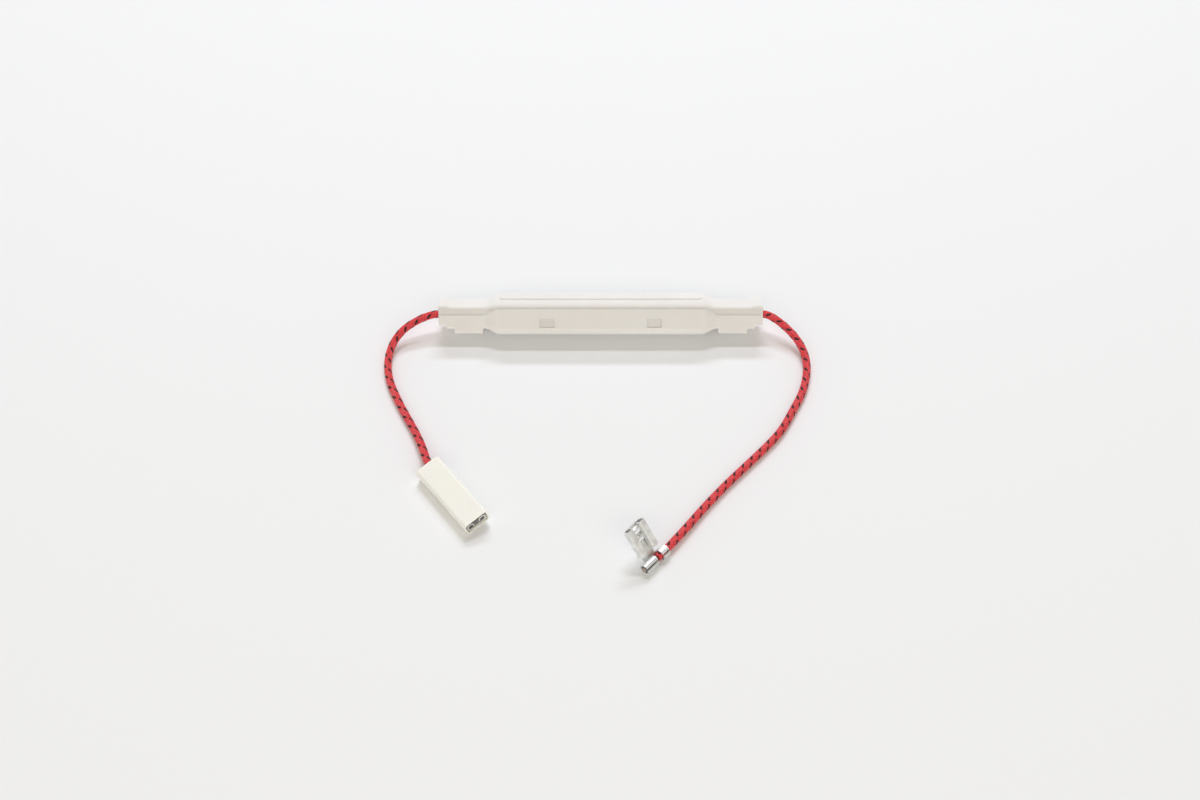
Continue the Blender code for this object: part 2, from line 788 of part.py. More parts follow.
def add_clip(name, side, parts, cutters, frame, materials):
    """A band that snaps round the end cap, on the same strip as the crimps of the lead."""
    home = new_frame(f"{name}_clip_frame", parts, Matrix.Identity(4))
    home.parent = frame
    home.rotation_euler = (0, 0, 0 if side > 0 else math.pi)
    shift = new_frame(f"{name}_crimp_frame", parts, Matrix.Identity(4))
    shift.parent = home
    shift.location = (CLIP_CRIMP_START, 0, 0)

    shapes = crimp_barrel(f"{name}_clip", CLIP_SHEET, CLIP_CRIMP, CLIP_GRIP, CLIP_GRIP_GAP, cutters, shift)
    middle = CLIP_INNER + CLIP_SHEET / 2
    start = math.pi / 2 - CLIP_OPENING
    path = arc((0, 0), middle, start, start - 2 * (math.pi - CLIP_OPENING), 2 * CURL_STEPS)
    first = (path[0][0] + CLIP_LIP, path[0][1] + CLIP_LIP)
    last = (path[-1][0] - CLIP_LIP, path[-1][1] + CLIP_LIP)
    path = [first] + path + [last]
    low = CLIP_BAND_END - CLIP_BAND
    shapes.append(plate(f"{name}_band", ribbon(path, CLIP_SHEET), low, CLIP_BAND_END, "X", cutters, home))
    core_middle = CRIMP_INNER + CLIP_SHEET / 2
    ramp = [
        (CLIP_BAND_END - CLIP_SHEET, -middle),
        (CLIP_BAND_END + CLIP_TAIL, -middle),
        (CLIP_CRIMP_START, -core_middle),
        (CLIP_CRIMP_START + CLIP_SHEET, -core_middle),
    ]
    half = CRIMP_STRIP / 2
    shapes.append(plate(f"{name}_ramp", ribbon(ramp, CLIP_SHEET), -half, half, "Y", cutters, home))
    clip = fuse_all(f"{name}_fuse_clip", shapes, parts, shift)
    finish_piece(clip, materials["tin"])
    core = rod(f"{name}_inner_core", CORE_RADIUS, -SNUG, CLIP_CRIMP + CRIMP_RAMP, parts, shift)
    finish_piece(core, materials["copper"], smooth=True)


def receptacle_path(width, curl, sheet):
    """The middle line of a push-on receptacle's section: a floor with an edge rolled in on each side."""
    corner = curl * CURL_ROUNDNESS
    side = width / 2 - sheet / 2
    top = 2 * curl - sheet / 2
    low = sheet / 2
    lip = side - 2 * curl + sheet
    quarter = math.pi / 2
    right = [(lip, low + sheet + CURL_CLEARANCE)]
    right += arc((lip + corner, top - corner), corner, 2 * quarter, quarter, CORNER_STEPS)
    right += arc((side - corner, top - corner), corner, quarter, 0, CORNER_STEPS)
    right += arc((side - corner, low + corner), corner, 0, -quarter, CORNER_STEPS)
    return right + [(-u, v) for u, v in reversed(right)]


def add_spade(parts, cutters, frame, materials):
    """The straight terminal: crimps and receptacle in one line, seated in its sleeve."""
    mouth = SLEEVE_LENGTH / 2 - MOUTH_SET_BACK
    crimp_end = mouth - SPADE_LENGTH - SPADE_NECK
    home = new_frame("spade_frame", parts, Matrix.Identity(4))
    home.parent = frame
    home.location = (crimp_end, 0, 0)
    home.rotation_euler = (0, 0, math.pi)
    shapes = crimp_barrel("spade", SHEET, SPADE_CRIMP, SPADE_GRIP, GRIP_GAP, cutters, home)
    floor = -(CRIMP_INNER + SHEET)
    path = [(u, v + floor) for u, v in receptacle_path(SPADE_WIDTH, SPADE_CURL, SHEET)]
    low = -(SPADE_NECK + SPADE_LENGTH)
    shapes.append(plate("spade_head", ribbon(path, SHEET), low, -SPADE_NECK, "X", cutters, home))
    tip = SPADE_WIDTH / 2 - SPADE_CURL
    root = CRIMP_STRIP / 2
    outline = [(SHEET, root), (-SPADE_NECK - SHEET, tip), (-SPADE_NECK - SHEET, -tip), (SHEET, -root)]
    shapes.append(plate("spade_bridge", outline, floor, floor + SHEET, "Z", cutters, home))
    spade = fuse_all("spade_terminal", shapes, parts, home)
    finish_piece(spade, materials["tin"])
    core = rod("left_outer_core", CORE_RADIUS, -SNUG, SPADE_CRIMP + CRIMP_RAMP, parts, home)
    finish_piece(core, materials["copper"], smooth=True)
    return crimp_end


def add_sleeve(parts, cutters, frame, materials):
    outer = rounded_outline(SLEEVE_WIDTH / 2, SLEEVE_HEIGHT / 2, SLEEVE_CORNER, CORNER_STEPS)
    half_width = SLEEVE_WIDTH / 2 - SLEEVE_WALL
    half_height = SLEEVE_HEIGHT / 2 - SLEEVE_WALL
    inner = rounded_outline(half_width, half_height, SLEEVE_CORNER - SLEEVE_WALL, CORNER_STEPS)
    half = SLEEVE_LENGTH / 2
    sleeve = plate("terminal_sleeve", outer, -half, half, "X", parts, frame)
    bore = plate("sleeve_bore", inner, -half - SLEEVE_WALL, half + SLEEVE_WALL, "X", cutters, frame)
    set_as_cutter(bore)
    join(sleeve, bore, "DIFFERENCE")
    finish_piece(sleeve, materials["ivory"])


def add_louvres(head, floor, middle, mouth, cutters, frame):
    """Cuts slots in the receptacle's floor, and makes the bar that rises to the edge of each."""
    bars = []
    for count in range(2):
        near = mouth - LOUVRE_FIRST - count * LOUVRE_PITCH
        low = (middle - LOUVRE_WIDTH / 2, near - LOUVRE_SLOT, floor - SHEET)
        high = (middle + LOUVRE_WIDTH / 2, near, floor + 2 * SHEET)
        slot = box(f"louvre_slot_{count}", low, high, cutters, frame)
        set_as_cutter(slot)
        join(head, slot, "DIFFERENCE")
        root = floor + SHEET / 2 + LAP
        top = root + LOUVRE_RISE
        path = [(near + LOUVRE_LENGTH, root), (near + SNUG, top), (near - SNUG, top)]
        half = LOUVRE_WIDTH / 2 - SNUG
        outline = ribbon(path, SHEET)
        bars.append(plate(f"louvre_{count}", outline, middle - half, middle + half, "X", cutters, frame))
    return bars


def add_flag(parts, cutters, frame, materials):
    """The bare flag terminal: its receptacle stands off to one side of the crimps."""
    shapes = crimp_barrel("flag", SHEET, FLAG_CRIMP, FLAG_GRIP, FLAG_GRIP_GAP, cutters, frame)
    floor = -(CRIMP_INNER + SHEET)
    head_low = FLAG_START
    head_high = FLAG_START + FLAG_WIDTH
    centre = (head_low + head_high) / 2
    path = [(u + centre, v + floor) for u, v in receptacle_path(FLAG_WIDTH, FLAG_CURL, SHEET)]
    mouth = FLAG_SET_OFF + FLAG_LENGTH
    head = plate("flag_head", ribbon(path, SHEET), FLAG_SET_OFF, mouth, "Y", cutters, frame)
    inner = CRIMP_STRIP / 6
    edge = CRIMP_STRIP / 2 - SHEET / 4
    low, high = head_low + FLAG_CURL, head_low + FLAG_BRIDGE
    top = FLAG_SET_OFF + SHEET
    outline = [(low, inner), (FLAG_CRIMP - SHEET / 2, inner), (FLAG_CRIMP, edge)]
    outline += [(high, edge), (high, top), (low, top)]
    bridge = plate("flag_bridge", outline, floor + LAP, floor + SHEET - LAP, "Z", cutters, frame)
    shapes += [head, bridge]
    shapes += add_louvres(head, floor, centre, mouth, cutters, frame)
    finish_piece(fuse_all("flag_terminal", shapes, parts, frame), materials["tin"])
    core = rod("right_outer_core", CORE_RADIUS, -SNUG, FLAG_CRIMP + CRIMP_RAMP, parts, frame)
    finish_piece(core, materials["copper"], smooth=True)


def sleeve_frame_matrix():
    """Along the sleeve with +X to its mouth, rolled, with its lowest edge on the table."""
    turn = Matrix.Rotation(SLEEVE_HEADING, 4, "Z") @ Matrix.Rotation(SLEEVE_ROLL, 4, "X")
    outline = rounded_outline(SLEEVE_WIDTH / 2, SLEEVE_HEIGHT / 2, SLEEVE_CORNER, CORNER_STEPS)
    rise = -min((turn @ Vector((0, y, z))).z for y, z in outline)
    return Matrix.Translation((*SLEEVE_PLACE, rise)) @ turn


def flag_frame_matrix():
    """+X along the lead from the terminal's open end, +Y to the mouth, resting on the lead's crimp."""
    rise = GRIP_INNER + SHEET
    turn = Matrix.Rotation(FLAG_HEADING, 4, "Z") @ Matrix.Rotation(FLAG_LIFT, 4, "X")
    return Matrix.Translation((*FLAG_PLACE, rise)) @ turn


def add_lead(name, start, bends, end, parts, materials):
    points = smooth_route(start + [Vector(point) for point in bends] + end, LEAD_POINT_SPACING)
    finish_piece(tube(name, points, LEAD_RADIUS, 2, parts), materials["braid"])


def add_leads(parts, case, sleeve, flag, crimp_end, materials):
    """Each lead is straight in its neck and in its terminal, and follows its own bends between them."""
    inside = [CLIP_LEAD_START, (CLIP_LEAD_START + CASE_HALF) / 2, CASE_HALF - END_LENGTH, CASE_HALF]
    left = [case @ Vector((-x, 0, 0)) for x in inside]
    lead_end = crimp_end - SPADE_CRIMP - CRIMP_RAMP - SNUG
    grip_start = crimp_end - SPADE_CRIMP - GRIP_GAP - SPADE_GRIP
    rear = -SLEEVE_LENGTH / 2 + 2 * LEAD_RADIUS
    tail = [sleeve @ Vector((x, 0, 0)) for x in (rear, (rear + grip_start) / 2, grip_start, lead_end)]
    add_lead("left_lead", left, LEFT_BENDS, tail, parts, materials)
    right = [case @ Vector((x, 0, 0)) for x in inside]
    grip_start = FLAG_CRIMP + FLAG_GRIP_GAP
    grip_end = grip_start + FLAG_GRIP
    lead_end = FLAG_CRIMP + CRIMP_RAMP + SNUG
    along = (grip_end + LEAD_POINT_SPACING / 2, grip_end, grip_start, lead_end)
    tail = [flag @ Vector((x, 0, 0)) for x in along]
    add_lead("right_lead", right, RIGHT_BENDS, tail, parts, materials)


def build():
    clear_scene()
    parts = new_collection("microwave_fuse")
    cutters = new_collection("cutters")
    materials = {
        "nylon": new_material("natural_nylon", (0.80, 0.77, 0.72), 0.45),
        "glass": new_material("clear_glass", (0.9, 0.95, 0.95), 0.05, transmission=1.0),
        "nickel": new_material("nickel_plate", (0.70, 0.68, 0.64), 0.2, metallic=1.0),
        "steel": new_material("spring_steel", (0.45, 0.45, 0.46), 0.3, metallic=1.0),
        "solder": new_material("solder", (0.60, 0.60, 0.60), 0.4, metallic=1.0),
        "copper": new_material("tinned_copper", (0.72, 0.60, 0.50), 0.35, metallic=1.0),
        "tin": new_material("tin_plate", (0.75, 0.74, 0.72), 0.25, metallic=1.0),
        "ivory": new_material("ivory_sleeve", (0.86, 0.82, 0.70), 0.4),
        "braid": new_material("red_braid", (0.62, 0.03, 0.04), 0.7),
    }
    case = case_frame_matrix()
    sleeve = sleeve_frame_matrix()
    flag = flag_frame_matrix()
    case_frame = new_frame("case_frame", parts, case)
    sleeve_frame = new_frame("sleeve_frame", parts, sleeve)
    flag_frame = new_frame("flag_frame", parts, flag)
    add_case(parts, cutters, case_frame, materials)
    add_fuse(parts, case_frame, materials)
    add_clip("left", -1, parts, cutters, case_frame, materials)
    add_clip("right", 1, parts, cutters, case_frame, materials)
    add_sleeve(parts, cutters, sleeve_frame, materials)
    crimp_end = add_spade(parts, cutters, sleeve_frame, materials)
    add_flag(parts, cutters, flag_frame, materials)
    add_leads(parts, case, sleeve, flag, crimp_end, materials)


build()
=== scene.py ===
# %% [markdown]
# # A high voltage fuse for a microwave oven
#
# The solid model arrives as a fixed frame: the moulded case, the fuse inside it, the two leads and their
# terminals. This lesson dresses it. Plain solids that already have the right shape keep their mesh and
# get a finish of their own, and the leads and the bundles of strands are made again with the detail of
# real wire. Everything is in metres, with the case near the origin and the leads reaching forward along
# -Y.

# %% Load the frame
import math
import random

import bpy
from mathutils import Matrix, Vector


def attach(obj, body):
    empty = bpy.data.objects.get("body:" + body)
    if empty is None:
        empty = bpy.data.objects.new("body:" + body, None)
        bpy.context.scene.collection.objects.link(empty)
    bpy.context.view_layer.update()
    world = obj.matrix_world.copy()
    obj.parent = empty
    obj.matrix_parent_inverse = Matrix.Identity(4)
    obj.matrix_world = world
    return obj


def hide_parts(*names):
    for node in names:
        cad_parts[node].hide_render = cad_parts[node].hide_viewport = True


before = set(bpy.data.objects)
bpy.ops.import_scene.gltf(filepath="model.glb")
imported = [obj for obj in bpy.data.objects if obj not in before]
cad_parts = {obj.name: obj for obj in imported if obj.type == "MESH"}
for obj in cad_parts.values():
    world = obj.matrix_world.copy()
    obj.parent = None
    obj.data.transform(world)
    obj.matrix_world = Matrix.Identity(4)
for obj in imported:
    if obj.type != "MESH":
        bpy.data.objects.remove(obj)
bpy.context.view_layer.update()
scene = bpy.context.scene

# %% [markdown]
# ## The camera
#
# The object was photographed from half a metre, looking down at fifty degrees, so that the case's lid and
# front wall both show. A 50 mm lens from the same place gives the same mild perspective: the near
# terminals are drawn a little larger than the case.

# %% Camera
LOOK_DOWN = 50

camera_data = bpy.data.cameras.new("camera")
camera_data.lens = 50
camera = bpy.data.objects.new("camera", camera_data)
camera.location = (-0.0002, -0.3429, 0.3742)
camera.rotation_euler = (math.radians(90 - LOOK_DOWN), 0, 0)
scene.collection.objects.link(camera)
scene.camera = camera
print("camera at", [round(c, 4) for c in camera.location])

# %% [markdown]
# ## The table
#
# The object was photographed on plain white paper. A large square with a pale, nearly matt finish does
# the same, and it still takes the soft shadows that show how the case lies on its rounded edge. Its
# colour leans a little to blue, because the light that falls on it is a little warm, and the paper has to
# come out white.

# %% Table
TABLE_HALF = 3
SQUARE = ((-1, -1), (1, -1), (1, 1), (-1, 1))

table_mesh = bpy.data.meshes.new("table")
table_mesh.from_pydata([(TABLE_HALF * x, TABLE_HALF * y, 0) for x, y in SQUARE], [], [(0, 1, 2, 3)])
table = bpy.data.objects.new("table", table_mesh)
scene.collection.objects.link(table)

table_material = bpy.data.materials.new("pale_table")
table_material.use_nodes = True
table_shader = table_material.node_tree.nodes["Principled BSDF"]
table_shader.inputs["Base Color"].default_value = (0.882, 0.896, 0.918, 1)
table_shader.inputs["Roughness"].default_value = 0.9
table_shader.inputs["Specular IOR Level"].default_value = 0.1
table_mesh.materials.append(table_material)
print("table colour:", [round(c, 3) for c in table_shader.inputs["Base Color"].default_value[:3]])

# %% [markdown]
# ## The lamps
#
# A white object on a white table shows its form only through soft shading, so the lamps matter more than
# any colour. The photograph has two shadows in front of the case, one inside the other. The short dark
# one comes from a lamp high behind the object, and the longer pale one from a lamp lower down. A third,
# wide lamp in front lights the wall that faces the camera. Together with the surroundings they add up to
# a plain level of one, at which a colour renders as it is written. The Standard view shows that colour
# without a film curve.

# %% Lamps
scene.view_settings.view_transform = "Standard"
LIT_POINT = Vector((0, 0, 0))


def soft_lamp(name, place, width, height, power, color):
    data = bpy.data.lights.new(name, "AREA")
    data.shape = "RECTANGLE"
    data.size = width
    data.size_y = height
    data.energy = power
    data.color = color
    lamp = bpy.data.objects.new(name, data)
    lamp.location = place
    lamp.rotation_euler = (LIT_POINT - Vector(place)).to_track_quat("-Z", "Y").to_euler()
    scene.collection.objects.link(lamp)


soft_lamp("back_lamp", (0, 0.54, 1.12), width=0.48, height=0.12, power=4.15, color=(0.95, 0.95, 1.0))
soft_lamp("low_lamp", (0, 0.99, 1.06), width=0.80, height=0.12, power=7.3, color=(0.86, 0.91, 1.0))
soft_lamp("front_lamp", (0, -0.85, 0.72), width=1.60, height=0.40, power=3.75, color=(1.0, 0.95, 0.87))

# %% [markdown]
# ## The surroundings
#
# Bright metal looks like metal only when it has something to mirror. The world stands for the light tent:
# it is brightest at its rim and falls off overhead, where the camera is. That fall draws dark and light
# bands on the rolled edges of the terminals. It is a little warm, and so are the shadows, which only it
# lights.

# %% World
RIM_COLOR = (1.0, 0.95, 0.84, 1)
OVERHEAD_COLOR = (0.36, 0.342, 0.302, 1)
FALL_ENDS_AT = 0.6
TENT_STRENGTH = 0.99

world = bpy.data.worlds.new("light_tent")
world.use_nodes = True
tent = world.node_tree
direction = tent.nodes.new("ShaderNodeTexCoord")
height = tent.nodes.new("ShaderNodeSeparateXYZ")
fall = tent.nodes.new("ShaderNodeValToRGB")
rim, overhead = fall.color_ramp.elements
rim.color = RIM_COLOR
overhead.color = OVERHEAD_COLOR
overhead.position = FALL_ENDS_AT
tent.links.new(direction.outputs["Generated"], height.inputs["Vector"])
tent.links.new(height.outputs["Z"], fall.inputs["Fac"])
tent.links.new(fall.outputs["Color"], tent.nodes["Background"].inputs["Color"])
tent.nodes["Background"].inputs["Strength"].default_value = TENT_STRENGTH
scene.world = world
print("world strength:", TENT_STRENGTH)

# %% [markdown]
# ## Where the case and the terminals lie
#
# The case lies rolled back on its rounded edge, because the stiff leads hold it there. The sleeve leans a
# little on its side, and the flag terminal stands with its mouth up. Three matrices say so, with the same
# numbers as the solid model, so that anything made about the fuse's axis or in a terminal lands in place.

# %% Frames of the case and the terminals
CASE_PLACE = (0, -0.000243, 0.006192)
CASE_ROLL = math.radians(27.5)
SLEEVE_PLACE = (-0.0411, -0.0657, 0.002907)
SLEEVE_HEADING = math.radians(-52.8)
SLEEVE_ROLL = math.radians(13)
FLAG_PLACE = (0.0118, -0.0899, 0.00173)
FLAG_HEADING = math.radians(48.5)
FLAG_LIFT = math.radians(51)
MM_PER_METRE = 1000


def lying_frame(place, heading, roll):
    return Matrix.Translation(place) @ Matrix.Rotation(heading, 4, "Z") @ Matrix.Rotation(roll, 4, "X")


case_frame = lying_frame(CASE_PLACE, 0, -CASE_ROLL)
sleeve_frame = lying_frame(SLEEVE_PLACE, SLEEVE_HEADING, SLEEVE_ROLL)
flag_frame = lying_frame(FLAG_PLACE, FLAG_HEADING, FLAG_LIFT)
print("case axis is", round(case_frame.translation.z * MM_PER_METRE, 2), "mm above the table")

# %% [markdown]
# ## Tools for nodes
#
# Each finish is a small network of nodes, and what several finishes share is a group of nodes with named
# sockets. These helpers place and wire nodes, start a group or a finish, and give a finish to pieces, so
# that everything below reads as a short list.

# %% Node helpers
def add_node(tree, kind, **settings):
    node = tree.nodes.new(kind)
    for name, value in settings.items():
        setattr(node, name, value)
    return node


def wire(tree, source, target):
    tree.links.new(source, target)


def new_group(name, kind, inputs, outputs=()):
    """A group with number sockets, and its two ends. A geometry group also lets a geometry through."""
    tree = bpy.data.node_groups.new(name, kind)
    if kind == "GeometryNodeTree":
        for end in ("INPUT", "OUTPUT"):
            tree.interface.new_socket("Geometry", in_out=end, socket_type="NodeSocketGeometry")
    for label, default in inputs:
        socket = tree.interface.new_socket(label, in_out="INPUT", socket_type="NodeSocketFloat")
        socket.default_value = default
    for label in outputs:
        tree.interface.new_socket(label, in_out="OUTPUT", socket_type="NodeSocketFloat")
    return tree, add_node(tree, "NodeGroupInput"), add_node(tree, "NodeGroupOutput")


def new_finish(name):
    material = bpy.data.materials.new(name)
    material.use_nodes = True
    return material, material.node_tree, material.node_tree.nodes["Principled BSDF"]


def set_finish(material, *nodes):
    for node in nodes:
        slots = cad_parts[node].data.materials
        slots.clear()
        slots.append(material)


print("pieces that wait for a finish:", len(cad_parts))

# %% [markdown]
# ## Uneven surfaces
#
# Nothing moulded or rolled is perfectly even. One group gives every finish its slow drift of tone and its
# fine grain: two noises at two scales, out as a drift value, a grain value and a height for the relief.

# %% Group: drift and grain
def make_uneven_group():
    inputs = (("Drift Scale", 120.0), ("Grain Scale", 2500.0), ("Grain Share", 0.5))
    outputs = ("Drift", "Grain", "Height")
    tree, inside, outside = new_group("drift_and_grain", "ShaderNodeTree", inputs, outputs)
    place = add_node(tree, "ShaderNodeTexCoord")
    mix = add_node(tree, "ShaderNodeMix", data_type="FLOAT")
    wire(tree, inside.outputs["Grain Share"], mix.inputs["Factor"])
    wire(tree, mix.outputs["Result"], outside.inputs["Height"])
    for label, detail, end in (("Drift", 3, "A"), ("Grain", 4, "B")):
        noise = add_node(tree, "ShaderNodeTexNoise")
        noise.inputs["Detail"].default_value = detail
        wire(tree, place.outputs["Object"], noise.inputs["Vector"])
        wire(tree, inside.outputs[label + " Scale"], noise.inputs["Scale"])
        wire(tree, noise.outputs["Fac"], outside.inputs[label])
        wire(tree, noise.outputs["Fac"], mix.inputs[end])
    return tree


uneven_group = make_uneven_group()
print("group sockets:", [item.name for item in uneven_group.interface.items_tree])

# %% [markdown]
# ## From a value to a finish
#
# A ramp turns the group's values into a colour or a roughness, and a bump node turns its height into
# relief. Most finishes of this object start in the same way: the colour follows the slow drift, and the
# roughness follows the grain.

# %% Uneven finishes
def add_uneven(tree, drift_scale, grain_scale, grain_share=0.5):
    node = add_node(tree, "ShaderNodeGroup", node_tree=uneven_group)
    node.inputs["Drift Scale"].default_value = drift_scale
    node.inputs["Grain Scale"].default_value = grain_scale
    node.inputs["Grain Share"].default_value = grain_share
    return node


def as_color(value):
    return (*value, 1) if isinstance(value, tuple) else (value, value, value, 1)


def add_ramp(tree, source, target, low, high, low_at=0.35, high_at=0.65):
    """A ramp from a value to a socket, between two colours or between two numbers."""
    ramp = add_node(tree, "ShaderNodeValToRGB")
    first, last = ramp.color_ramp.elements
    first.position, last.position = low_at, high_at
    first.color, last.color = as_color(low), as_color(high)
    wire(tree, source, ramp.inputs["Fac"])
    wire(tree, ramp.outputs["Color"], target)


def add_bump(tree, source, shader, strength, distance):
    bump = add_node(tree, "ShaderNodeBump")
    bump.inputs["Strength"].default_value = strength
    bump.inputs["Distance"].default_value = distance
    wire(tree, source, bump.inputs["Height"])
    wire(tree, bump.outputs["Normal"], shader.inputs["Normal"])


def uneven_finish(name, dark, light, smooth, rough, **scales):
    material, tree, shader = new_finish(name)
    uneven = add_uneven(tree, **scales)
    add_ramp(tree, uneven.outputs["Drift"], shader.inputs["Base Color"], dark, light)
    add_ramp(tree, uneven.outputs["Grain"], shader.inputs["Roughness"], smooth, rough)
    return material, tree, shader, uneven


print("a number as a colour:", as_color(0.5))

# %% [markdown]
# ## Natural nylon
#
# The case is moulded in undyed nylon: a warm white that lets a little light in. Scattering under the
# surface softens its edges, and a low, slightly uneven gloss gives the broad highlights of moulded
# plastic. The scattering is kept shallow, because a deep one loses its light in the seam and draws a dark
# line there. The cover gets its own copy of the finish, painted a shade less white than the tray's. This
# is painted shade that tones down the cover's top, which these lamps light too brightly.

# %% Finish: natural nylon
NYLON_DEPTH = 0.0005


def nylon_finish(name, light, dark, depth):
    material, tree, shader, uneven = uneven_finish(
        name, dark, light, smooth=0.54, rough=0.66, drift_scale=70, grain_scale=1500, grain_share=0.35
    )
    shader.inputs["Subsurface Weight"].default_value = 1.0
    shader.inputs["Subsurface Radius"].default_value = (1.0, 0.95, 0.88)
    shader.inputs["Subsurface Scale"].default_value = depth
    shader.inputs["Specular IOR Level"].default_value = 0.25
    add_bump(tree, uneven.outputs["Height"], shader, strength=0.12, distance=0.00006)
    return material


tray_nylon = nylon_finish("natural_nylon", (0.875, 0.862, 0.845), (0.855, 0.838, 0.815), NYLON_DEPTH)
# The cover's copy is the same nylon painted a shade darker: painted shade on its top.
cover_nylon_painted_shade = nylon_finish("natural_nylon_cover_painted_shade", (0.81, 0.795, 0.780), (0.79, 0.77, 0.750), NYLON_DEPTH)
set_finish(tray_nylon, "case_base")
set_finish(cover_nylon_painted_shade, "case_lid")
print("case finishes:", tray_nylon.name, cover_nylon_painted_shade.name)

# %% [markdown]
# ## Smooth where round, sharp where cut
#
# The solids come as loose triangles. Before an edge can be rounded they must be joined, and afterwards
# the shading has to know which edges are round and which are cut. A small geometry group does that part:
# all faces are smooth, except across edges that turn by more than the group's angle.

# %% Group: shade by angle
SHARP_ANGLE = math.radians(32)


def make_shading_group():
    tree, inside, outside = new_group("shade_by_angle", "GeometryNodeTree", [("Angle", SHARP_ANGLE)])
    old_normals = add_node(tree, "GeometryNodeRemoveAttribute")
    old_normals.inputs["Name"].default_value = "custom_normal"
    smooth = add_node(tree, "GeometryNodeSetShadeSmooth", domain="FACE")
    sharp = add_node(tree, "GeometryNodeSetShadeSmooth", domain="EDGE")
    sharp.inputs["Shade Smooth"].default_value = False
    turn = add_node(tree, "GeometryNodeInputMeshEdgeAngle")
    beyond = add_node(tree, "FunctionNodeCompare", data_type="FLOAT", operation="GREATER_THAN")
    wire(tree, turn.outputs["Unsigned Angle"], beyond.inputs["A"])
    wire(tree, inside.outputs["Angle"], beyond.inputs["B"])
    wire(tree, inside.outputs["Geometry"], old_normals.inputs["Geometry"])
    wire(tree, old_normals.outputs["Geometry"], smooth.inputs["Geometry"])
    wire(tree, smooth.outputs["Geometry"], sharp.inputs["Geometry"])
    wire(tree, beyond.outputs["Result"], sharp.inputs["Selection"])
    wire(tree, sharp.outputs["Geometry"], outside.inputs["Geometry"])
    return tree


shading_group = make_shading_group()
print("shading group sockets:", [item.name for item in shading_group.interface.items_tree])

# %% [markdown]
# ## Barbs that fill their windows
#
# Each tongue of the cover ends in a barb that snaps into a window. On the real case the barb fills the
# window almost to its sill, so the window shows as a pale, shallow pocket. The solid barb ends a little
# higher and would leave a black slot. The points of a barb's lower edge are the only ones of the cover
# that lie this far out and this low, in the case's own directions, and the group lowers them towards the
# sill.

# %% Group: lower the barbs
BARB_REACH = 0.0050
BARB_LEVEL = -0.0010
BARB_DROP = 0.00052
ACROSS = 1
UPWARD = 2


def distance_along(tree, point, axis):
    """How far a point lies along one of the case's own axes."""
    measure = add_node(tree, "ShaderNodeVectorMath", operation="DOT_PRODUCT")
    measure.inputs[1].default_value = case_frame.col[axis].to_3d()
    wire(tree, point, measure.inputs[0])
    return measure.outputs["Value"]


def make_barb_group():
    tree, inside, outside = new_group("lower_the_barbs", "GeometryNodeTree", [("Drop", BARB_DROP)])
    place = add_node(tree, "GeometryNodeInputPosition")
    from_axis = add_node(tree, "ShaderNodeVectorMath", operation="SUBTRACT")
    from_axis.inputs[1].default_value = case_frame.translation
    wire(tree, place.outputs["Position"], from_axis.inputs[0])
    reach = add_node(tree, "ShaderNodeMath", operation="ABSOLUTE")
    wire(tree, distance_along(tree, from_axis.outputs["Vector"], ACROSS), reach.inputs[0])
    level = distance_along(tree, from_axis.outputs["Vector"], UPWARD)
    far_out = add_node(tree, "FunctionNodeCompare", data_type="FLOAT", operation="GREATER_THAN")
    far_out.inputs["B"].default_value = BARB_REACH
    wire(tree, reach.outputs["Value"], far_out.inputs["A"])
    low_down = add_node(tree, "FunctionNodeCompare", data_type="FLOAT", operation="LESS_THAN")
    low_down.inputs["B"].default_value = BARB_LEVEL
    wire(tree, level, low_down.inputs["A"])
    both = add_node(tree, "FunctionNodeBooleanMath", operation="AND")
    wire(tree, far_out.outputs["Result"], both.inputs[0])
    wire(tree, low_down.outputs["Result"], both.inputs[1])
    downward = add_node(tree, "ShaderNodeVectorMath", operation="SCALE")
    downward.inputs[0].default_value = -case_frame.col[UPWARD].to_3d()
    wire(tree, inside.outputs["Drop"], downward.inputs["Scale"])
    move = add_node(tree, "GeometryNodeSetPosition")
    wire(tree, inside.outputs["Geometry"], move.inputs["Geometry"])
    wire(tree, both.outputs["Boolean"], move.inputs["Selection"])
    wire(tree, downward.outputs["Vector"], move.inputs["Offset"])
    wire(tree, move.outputs["Geometry"], outside.inputs["Geometry"])
    return tree


barb_group = make_barb_group()
print("barb group sockets:", [item.name for item in barb_group.interface.items_tree])

# %% [markdown]
# ## Soft edges
#
# A mould's corners are never quite sharp. A narrow bevel on each edge catches a thin line of light, which
# is most of what makes a small part look real. The solids keep their mesh, because all of it is done by
# modifiers. The last of them weighs a corner's normal by the size of its faces, so that a large face
# stays flat right up to its bevel. Tray and cover also press together at their seam, so each swells by a
# hair and closes the running clearance of the solids. The terminals keep their solids' edges, because a
# bevel tears the thin, tight curls of their crimps.

# %% Soft edges
SAME_POINT = 0.000001
FLAT_ANGLE = math.radians(0.5)
BEVEL_ANGLE = math.radians(30)
CASE_EDGE = 0.00006
SLEEVE_EDGE = 0.00010
SEAM_SWELL = 0.00015


def run_group(obj, group):
    step = obj.modifiers.new(group.name, "NODES")
    step.node_group = group


def soften_edges(node, width, swell=0.0, barbs=False):
    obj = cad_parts[node]
    join = obj.modifiers.new("join", "WELD")
    join.merge_threshold = SAME_POINT
    if barbs:
        run_group(obj, barb_group)
    if swell:
        growth = obj.modifiers.new("close_fit", "DISPLACE")
        growth.mid_level = 0
        growth.strength = swell
    flat = obj.modifiers.new("whole_faces", "DECIMATE")
    flat.decimate_type = "DISSOLVE"
    flat.angle_limit = FLAT_ANGLE
    bevel = obj.modifiers.new("soft_edges", "BEVEL")
    bevel.width = width
    bevel.segments = 2
    bevel.limit_method = "ANGLE"
    bevel.angle_limit = BEVEL_ANGLE
    run_group(obj, shading_group)
    weigh = obj.modifiers.new("keep_faces_flat", "WEIGHTED_NORMAL")
    weigh.keep_sharp = True


